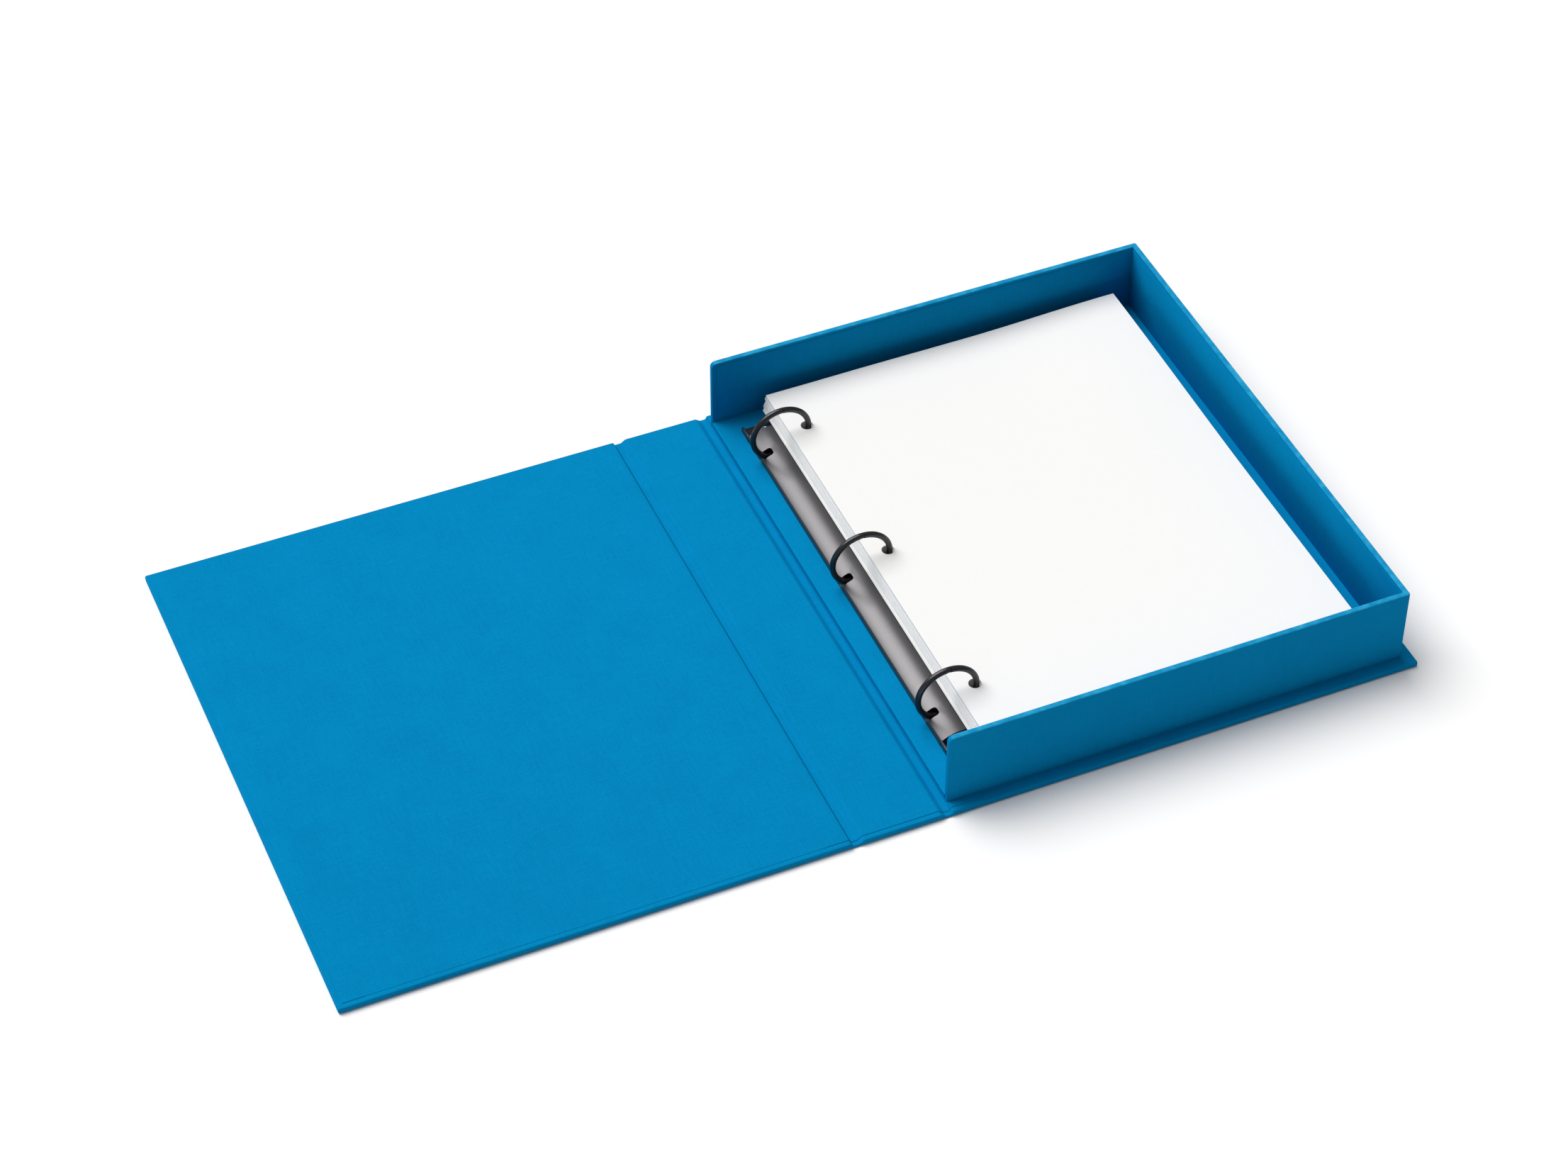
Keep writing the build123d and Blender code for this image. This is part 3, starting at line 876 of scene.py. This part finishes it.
class BINDER_OT_tray_walls(bpy.types.Operator):
    """Cloth over the three walls: outside, top edges and free ends"""

    bl_idname = "binder.tray_walls"
    bl_label = "Tray walls"

    def execute(self, context):
        inner_y = inner_half + LINING_PROUD
        inner_x = inner_x1 + LINING_PROUD
        outline = [
            (tray_x[0], -tray_half), (tray_x[1], -tray_half), (tray_x[1], tray_half), (tray_x[0], tray_half),
            (tray_x[0], inner_y), (inner_x, inner_y), (inner_x, -inner_y), (tray_x[0], -inner_y),
        ]
        shape = bmesh.new()
        base = [shape.verts.new((x, y, edge_z)) for x, y in outline]
        top = [shape.verts.new((x, y, wall_top)) for x, y in outline]
        walls = join_rings(0, len(base), len(base))
        for corners in walls:
            shape.faces.new([(base + top)[i] for i in corners])
        for ring in (base, top):
            for corners in ((0, 1, 6, 7), (1, 2, 5, 6), (2, 3, 4, 5)):  # tail, fore-edge and head wall
                shape.faces.new([ring[i] for i in corners])
        bmesh.ops.recalc_face_normals(shape, faces=shape.faces)
        corner_r, end_r, edge_r = 1.2, 3.0, 0.6
        rounds = [
            (corner_r, lambda p: p.x > tray_x[1] - NEAR and abs(p.y) > tray_half - NEAR),
            (end_r, lambda p: p.x < tray_x[0] + NEAR and p.z > wall_top - NEAR),
            (edge_r, lambda p: p.z > edge_z + NEAR),
        ]
        piece = add_piece("tray_wall_cloth_wrap", lay_cloth(round_edges(shape, rounds, 5)), wall_material())
        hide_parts("tray_wall_cloth")
        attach(piece, "tray")
        return {"FINISHED"}


class BINDER_OT_tray_lining(bpy.types.Operator):
    """Lining on the tray's floor and inner walls"""

    bl_idname = "binder.tray_lining"
    bl_label = "Tray lining"

    def execute(self, context):
        floor_x = (tray_x[0], inner_x1 + LINING_PROUD)
        floor_half = inner_half + LINING_PROUD
        round_front = [(0.8, lambda p: p.x < tray_x[0] + NEAR and p.z > floor_z - NEAR)]
        every_edge = [(0.1, lambda p: True)]
        wall_x = (span("head_wall_lining", X)[0], inner_x1 + SUNK)
        wall_z = (floor_z - SUNK, span("head_wall_lining", Z)[1])
        outer_y = inner_half + LINING_PROUD + SUNK
        fore_x = (inner_x1, inner_x1 + LINING_PROUD + SUNK)
        made = {
            "floor": slab(floor_x, (-floor_half, floor_half), (panel_z, floor_z), round_front, 5),
            "head_wall": slab(wall_x, (inner_half, outer_y), wall_z, every_edge, 2),
            "tail_wall": slab(wall_x, (-outer_y, -inner_half), wall_z, every_edge, 2),
            "fore_edge_wall": slab(fore_x, (-inner_half, inner_half), wall_z, every_edge, 2),
        }
        for name, mesh in made.items():
            piece = add_piece(f"{name}_lining_sheet", lay_cloth(mesh), cloth_material())
            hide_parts(f"{name}_lining")
            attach(piece, "tray")
        return {"FINISHED"}


# ---- ring mechanism -------------------------------------------------------------------------
PLATE_T = 0.9
SKIRT = 3.2  # height of the plate's upright sides
SLOT_W = 5.6
SLOT_U = 5.1  # inner end of a slot, from the middle of the plate
SLOT_R = 1.7
STRIP = 0.9  # metal left under a slot, at the foot of the skirt
PAD_LEN = 9.3  # flat pad for a rivet at each end of the plate
PAD_T = 1.0
PAD_HOLE_R = 2.05
EAR_H = 4.2


def slot_outline(lengths, middle, y, side):
    """A ring's slot on the unrolled plate: rounded at the inner end, square at the skirt."""
    half = SLOT_W / 2
    inner, end = middle + side * SLOT_U, middle + side * (middle - STRIP)
    tip = arc((SLOT_R, half - SLOT_R), SLOT_R, 90, 180, 7)
    tip += [(a, -b) for a, b in reversed(tip)]
    low, high = sorted((inner + side * SLOT_R, end))
    edge = sorted((s for s in lengths if low + 0.1 < s < high - 0.1), reverse=side < 0)
    points = [(inner + side * a, y + b) for a, b in tip]
    points += [(s, y - half) for s in [*edge, end]]
    return points + [(s, y + half) for s in [end, *reversed(edge)]]


def plate_profile(half_w, height):
    """The arch of the cover plate in a plane, from its left foot over to its right foot."""
    radius = (half_w**2 + (height - SKIRT) ** 2) / (2 * (height - SKIRT))
    bend_w = 0.9  # width of the bend between skirt and arch
    turn = math.degrees(math.asin((half_w - bend_w) / radius))
    over = arc((0, height - radius), radius, 90 + turn, 90 - turn, 44)
    start, middle, end = (-half_w, SKIRT - 1.1), (-half_w, SKIRT + 0.1), over[0]
    bend = []
    for t in evenly(0, 1, 8)[:-1]:
        weights = ((1 - t) ** 2, 2 * t * (1 - t), t * t)
        bend.append(tuple(sum(w * p[k] for w, p in zip(weights, (start, middle, end))) for k in (0, 1)))
    left = [(-half_w, 0), (-half_w, SKIRT / 3), *bend]
    return left + over + [(-x, z) for x, z in reversed(left)]


def along_profile(profile):
    """Distances of the profile's points along it, and a function that gives a place and its facing."""
    lengths = [0.0]
    for first, second in zip(profile, profile[1:]):
        lengths.append(lengths[-1] + math.dist(first, second))
    facing = []
    for i in range(len(profile)):
        before, after = profile[max(i - 1, 0)], profile[min(i + 1, len(profile) - 1)]
        run = math.dist(before, after)
        facing.append(((before[1] - after[1]) / run, (after[0] - before[0]) / run))

    def place(length):
        i = min(max(bisect(lengths, length) - 1, 0), len(profile) - 2)
        share = min(max((length - lengths[i]) / (lengths[i + 1] - lengths[i]), 0), 1)
        found = []
        for pairs in (profile, facing):
            found.append([pairs[i][k] * (1 - share) + pairs[i + 1][k] * share for k in (0, 1)])
        return found

    return lengths, place


def plate_arch(profile, y, base):
    """The slotted arch between the pads, and the wall that closes each of its ends."""
    lengths, place = along_profile(profile)

    def wrap(length, y):
        (x, z), (nx, nz) = place(length)
        outer = (ring_x + x, y, base + z)
        return outer, (outer[0] - PLATE_T * nx, y, outer[2] - PLATE_T * nz)

    slots = [slot_outline(lengths, lengths[-1] / 2, ring_y, side) for ring_y in ring_ys for side in SIDES]
    parts = [cut_sheet(lengths, evenly(*y, 36), slots, wrap, 0.35)]
    end_wall = [(ring_x + x * 0.965, base + z * 0.94) for x, z in profile]
    inset = 0.25
    for start, way in ((y[0] + inset, 1), (y[1] - inset, -1)):
        rings = [[(x, start + way * depth, z) for x, z in end_wall] for depth in (0, PLATE_T)]
        parts.append(loft(rings))
    return parts


def plate_pad(edge, way, rivet_y, half_w, base):
    """A flat riveting pad with its hole, from the plate's end inwards, and an ear on each side."""

    def flat(x, y):
        return (x, y, base + PAD_T), (x, y, base)

    pad_half = half_w - PLATE_T / 2
    columns = evenly(ring_x - pad_half, ring_x + pad_half, 12)
    lines = evenly(*sorted((edge, edge + way * (PAD_LEN + 1))), 6)
    parts = [cut_sheet(columns, lines, [circle((ring_x, rivet_y), PAD_HOLE_R)], flat)]
    ear_y = sorted((edge, edge + way * (PAD_LEN + 1.2)))
    for side in SIDES:
        ear_x = sorted((ring_x + side * (half_w - PLATE_T), ring_x + side * half_w))
        middle = sum(ear_x) / 2
        rounds = [
            (2.4, lambda p: abs(p.x - middle) < NEAR and p.z > base + EAR_H - 0.2),
            (0.2, lambda p: p.z > base + 0.1),
        ]
        parts.append(slab(ear_x, ear_y, (base, base + EAR_H), rounds, 6))
    return parts


class BINDER_OT_plate(bpy.types.Operator):
    """Arched black plate over the mechanism"""

    bl_idname = "binder.plate"
    bl_label = "Cover plate"

    def execute(self, context):
        low_x, high_x = span("cover_plate", X)
        low_y, high_y = span("cover_plate", Y)
        base, top = span("cover_plate", Z)
        half_w = (high_x - low_x) / 2
        profile = plate_profile(half_w, top - base)
        parts = plate_arch(profile, (low_y + PAD_LEN, high_y - PAD_LEN), base)
        for name, edge, way in (("tail", low_y, 1), ("head", high_y, -1)):
            rivet_y = sum(span(f"rivet_{name}", Y)) / 2
            parts += plate_pad(edge, way, rivet_y, half_w, base)
        plating = black_plating("plate_plating", 1.0)
        piece = add_piece("arched_cover_plate", joined(parts), plating, 40)
        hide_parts("cover_plate")
        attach(piece, "tray")
        return {"FINISHED"}


def bent_wire(outline, start, end, steps):
    """Rings of points along a round ring, by its angles in degrees; outline is the wire's section."""
    rings = []
    for degrees in evenly(start, end, steps):
        angle = math.radians(degrees)
        ring = []
        for out, y in outline:
            reach = ring_r + out
            ring.append((ring_x + reach * math.cos(angle), y, ring_z + reach * math.sin(angle)))
        rings.append(ring)
    return rings


def half_ring(side):
    """One half of a ring round y = 0: -1 is the left half, 1 is the right half."""
    lap, gap = 1.0, 0.16  # at the top the halves lie side by side, each as half a wire
    past_foot = 10  # degrees of wire beyond the leaf's top
    foot_z = span("half_ring_left_middle", Z)[0] + wire_r
    foot = math.degrees(math.asin((ring_z - foot_z) / ring_r))
    tip = math.degrees((lap + gap) / ring_r)
    over = math.degrees(lap / ring_r)
    half_round = arc((0, side * gap / 2), wire_r - gap / 2, 0, 180, 12)
    half_round = [(a, side * abs(b)) for a, b in half_round]
    body = bent_wire(circle((0, 0), wire_r, 20), 90 - side * tip, 90 - side * (90 + foot + past_foot), 44)
    lapped = bent_wire(half_round, 90 - side * tip, 90 + side * over, 3)
    return loft(body, lapped)


class BINDER_OT_rings(bpy.types.Operator):
    """Round wire half rings, three to each leaf"""

    bl_idname = "binder.rings"
    bl_label = "Rings"

    def execute(self, context):
        # painted shade: the wire is the plate's plating at 0.55 of its colour, a darker copy of one material
        plating = black_plating("wire_plating", 0.55)
        for name, side in (("left", -1), ("right", 1)):
            piece = add_piece(f"{name}_half_rings", half_ring(side), plating, 40)
            values = {
                "Count": len(ring_ys),
                "Start": (0.0, ring_ys[0] * MM, 0.0),
                "Step": (0.0, ring_pitch * MM, 0.0),
                "Material": plating,
            }
            run_tree(piece, row_tree(), values)
            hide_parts(*[f"half_ring_{name}_{place}" for place in ("tail", "middle", "head")])
            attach(piece, f"{name}_rings")
        return {"FINISHED"}


class BINDER_OT_rivets(bpy.types.Operator):
    """Hollow rivets that hold the mechanism to the tray"""

    bl_idname = "binder.rivets"
    bl_label = "Rivets"

    def execute(self, context):
        nickel = rubbed_metal("rivet_nickel", context.scene.binder_metal.rivet, 0.2, (1.0, 1.0, 1.0))
        tail, head = (span(f"rivet_{place}", Y) for place in ("tail", "head"))
        low, high = span("rivet_head", Z)
        flange = (head[1] - head[0]) / 2
        flange_t = 0.8
        collar, mouth, shank = 2.6, 1.2, 1.9  # radii of the rolled end, its mouth and the shank
        roll_z = high - 0.75
        profile = [(0, low), (flange, low), (flange, low + flange_t), (shank, low + flange_t)]
        profile.append((shank, roll_z))
        profile += arc(((collar + mouth) / 2, roll_z), (collar - mouth) / 2, 0, 180, 10)
        profile += [(mouth, low + 2 * flange_t), (0, low + 2 * flange_t)]
        rings = [[(*point, z) for point in circle((ring_x, 0), max(r, 0.01), 40)] for r, z in profile]
        piece = add_piece("rivets", loft(rings), nickel)
        values = {
            "Count": 2,
            "Start": (0.0, sum(tail) / 2 * MM, 0.0),
            "Step": (0.0, (head[0] - tail[0]) * MM, 0.0),
            "Material": nickel,
        }
        run_tree(piece, row_tree(), values)
        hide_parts("rivet_tail", "rivet_head")
        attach(piece, "tray")
        return {"FINISHED"}


# ---- paper ----------------------------------------------------------------------------------
HOLE_MARGIN = 11.1  # from a sheet's edge to the middle of its holes
HOLE_R = 3.5
AIR = 0.11  # between the stack and the top sheet
SHEAVES = sum(1 for node in frame["nodes"] if node.startswith("paper_sheaf_"))
DROP = (16.0, 84.0)  # where the sheets come down from the plate, from the middle of the rings


class BINDER_OT_paper_stack(bpy.types.Operator):
    """Loose punched sheets on the rings, in sheaves"""

    bl_idname = "binder.paper_stack"
    bl_label = "Paper stack"

    def execute(self, context):
        look = context.scene.binder_paper
        paper = kept_material("writing_paper", writing_paper)
        left_low = span("paper_sheaf_1", Z)[1]
        lowest = span("paper_sheaf_1", Z)[0]
        top = span(f"paper_sheaf_{SHEAVES}", Z)[1]
        left_t = (top - left_low) / (SHEAVES - 1)
        right_t = (top - lowest) / SHEAVES
        for i in range(SHEAVES):
            node = f"paper_sheaf_{i + 1}"
            x, y = span(node, X), span(node, Y)
            above = f"paper_sheaf_{min(i + 2, SHEAVES)}"
            slant = span(above, X)[0] - x[0]
            slope = [ring_x + DROP[0] + 6 * k for k in range(1, 13)]
            columns = [x[0], x[0] + 4, x[0] + 18, *slope, x[0] + 120, x[0] + 165, x[1]]
            mesh = punched_sheet(y, x[0] + HOLE_MARGIN, HOLE_R, look.thickness / MM, columns)
            piece = add_piece(f"paper_sheets_{i + 1}", mesh, paper)
            values = {
                "Sheets": look.sheets,
                "Seed": 7 * i + 3,
                "Drop start": (ring_x + DROP[0]) * MM,
                "Drop end": (ring_x + DROP[1]) * MM,
                "Low left": (left_low - left_t + i * left_t) * MM,
                "Low right": (lowest + i * right_t) * MM,
                "High left": (left_low + i * left_t) * MM,
                "High right": (lowest + (i + 1) * right_t) * MM,
                "Spread": look.spread,
                "Slant": slant * MM,
                "Material": paper,
            }
            run_tree(piece, stack_tree(), values)
            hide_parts(node)
            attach(piece, f"paper_{i + 1}")
        return {"FINISHED"}


class BINDER_OT_top_sheet(bpy.types.Operator):
    """The punched top sheet, lying just above the stack with a faint ripple and its far corner lifted"""

    bl_idname = "binder.top_sheet"
    bl_label = "Top sheet"

    def execute(self, context):
        look = context.scene.binder_paper
        paper = kept_material("writing_paper", writing_paper)
        left = span("top_sheet_margin", X)[0]
        y = span("top_sheet", Y)
        columns = [left + place for place in (0, 4, 18, *evenly(22, 216, 40))]
        thickness = look.thickness / MM
        mesh = punched_sheet(y, left + HOLE_MARGIN, HOLE_R, thickness, columns, 32)
        rest_z = (paper_top + thickness / 2 + AIR) * MM
        for vert in mesh.vertices:
            along = vert.co.x / MM - left
            up = vert.co.y / MM - y[0]
            corner = smooth(along, 120, 216) * smooth(up, 120, 280)
            ripple = 0.12 * (1 + math.sin(up / 37 + along / 90)) * smooth(along, 25, 60)
            vert.co.z += rest_z + look.lift * corner + ripple * MM
        piece = add_piece("top_sheet_of_paper", mesh, paper)
        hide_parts("top_sheet_margin", "top_sheet")
        bend = 6.0  # half the width of a strip round the page_curl line
        start, end = ((page_fold_x + side * bend) * MM for side in SIDES)
        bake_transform(piece)
        return {"FINISHED"}


# ---- stage ----------------------------------------------------------------------------------
def aim(thing, target):
    """Turn a light so that it shines at a place."""
    thing.rotation_mode = "QUATERNION"
    thing.rotation_quaternion = (Vector(target) - thing.location).to_track_quat("-Z", "Y")


class BINDER_OT_stage(bpy.types.Operator):
    """Pale floor, soft studio light and camera"""

    bl_idname = "binder.stage"
    bl_label = "Stage"

    def execute(self, context):
        look = context.scene.binder_stage
        scene = context.scene
        scene.view_settings.view_transform = "Standard"
        world = bpy.data.worlds.new("studio")
        world.use_nodes = True
        background = world.node_tree.nodes["Background"]
        background.inputs["Color"].default_value = (1.0, 1.0, 1.0, 1.0)
        background.inputs["Strength"].default_value = look.sky
        scene.world = world

        size, gap = 30.0, 0.15 * MM  # the floor lies just under the binder
        corners = [(-size, -size, -gap), (size, -size, -gap), (size, size, -gap), (-size, size, -gap)]
        mesh = bpy.data.meshes.new("floor")
        mesh.from_pydata(corners, [], [(0, 1, 2, 3)])
        material, _, shader = new_material("table_top", Roughness=0.9, Specular_IOR_Level=0.1)
        shader.inputs["Base Color"].default_value = opaque(look.floor)
        floor = add_piece("floor", mesh, material)

        key = bpy.data.lights.new("key_light", "SUN")
        key.energy = look.key
        key.angle = look.softness
        lamp = bpy.data.objects.new("key_light", key)
        scene.collection.objects.link(lamp)
        lamp.location = (-0.68, 0.95, 2.0)
        aim(lamp, (0.0, 0.0, 0.0))

        azimuth, elevation, roll = (math.radians(a) for a in (-22.99, 43.76, -0.15))
        back = Vector((
            math.sin(azimuth) * math.cos(elevation),
            -math.cos(azimuth) * math.cos(elevation),
            math.sin(elevation),
        ))
        level = Vector((math.cos(azimuth), math.sin(azimuth), 0))
        upward = back.cross(level)
        right = level * math.cos(roll) + upward * math.sin(roll)
        up = upward * math.cos(roll) - level * math.sin(roll)
        camera = bpy.data.objects.new("camera", bpy.data.cameras.new("camera"))
        scene.collection.objects.link(camera)
        turned = Matrix((right, up, back)).transposed().to_4x4()
        camera.matrix_world = Matrix.Translation((-0.57145, -1.32957, 1.44312)) @ turned
        camera.data.sensor_width = 36.0
        camera.data.lens = look.lens
        camera.data.shift_x = 0.0148
        camera.data.shift_y = -0.0274
        camera.data.clip_start = 0.05
        camera.data.clip_end = 100.0
        scene.camera = camera
        return {"FINISHED"}


# ---- add-on ---------------------------------------------------------------------------------
class BINDER_PT_pieces(bpy.types.Panel):
    bl_label = "Ring binder"
    bl_idname = "BINDER_PT_pieces"
    bl_space_type = "VIEW_3D"
    bl_region_type = "UI"
    bl_category = "Ring binder"

    def draw(self, context):
        for name, settings in PROPERTIES.items():
            box = self.layout.box()
            for field in settings.__annotations__:
                box.prop(getattr(context.scene, name), field)
        for operator in OPERATORS:
            self.layout.operator(operator.bl_idname)


PROPERTIES = {
    "binder_cloth": BinderCloth,
    "binder_metal": BinderMetal,
    "binder_paper": BinderPaper,
    "binder_stage": BinderStage,
}
OPERATORS = (
    BINDER_OT_stage,
    BINDER_OT_case_cloth,
    BINDER_OT_case_lining,
    BINDER_OT_hinge_folds,
    BINDER_OT_boards,
    BINDER_OT_tray_walls,
    BINDER_OT_tray_lining,
    BINDER_OT_plate,
    BINDER_OT_rings,
    BINDER_OT_rivets,
    BINDER_OT_paper_stack,
    BINDER_OT_top_sheet,
)
CLASSES = (*PROPERTIES.values(), *OPERATORS, BINDER_PT_pieces)


def register():
    for one in CLASSES:
        bpy.utils.register_class(one)
    for name, settings in PROPERTIES.items():
        setattr(bpy.types.Scene, name, PointerProperty(type=settings))


def unregister():
    for name in PROPERTIES:
        delattr(bpy.types.Scene, name)
    for one in reversed(CLASSES):
        bpy.utils.unregister_class(one)


def main():
    register()
    for operator in OPERATORS:
        group, name = operator.bl_idname.split(".")
        getattr(getattr(bpy.ops, group), name)()


if __name__ == "__main__":
    main()
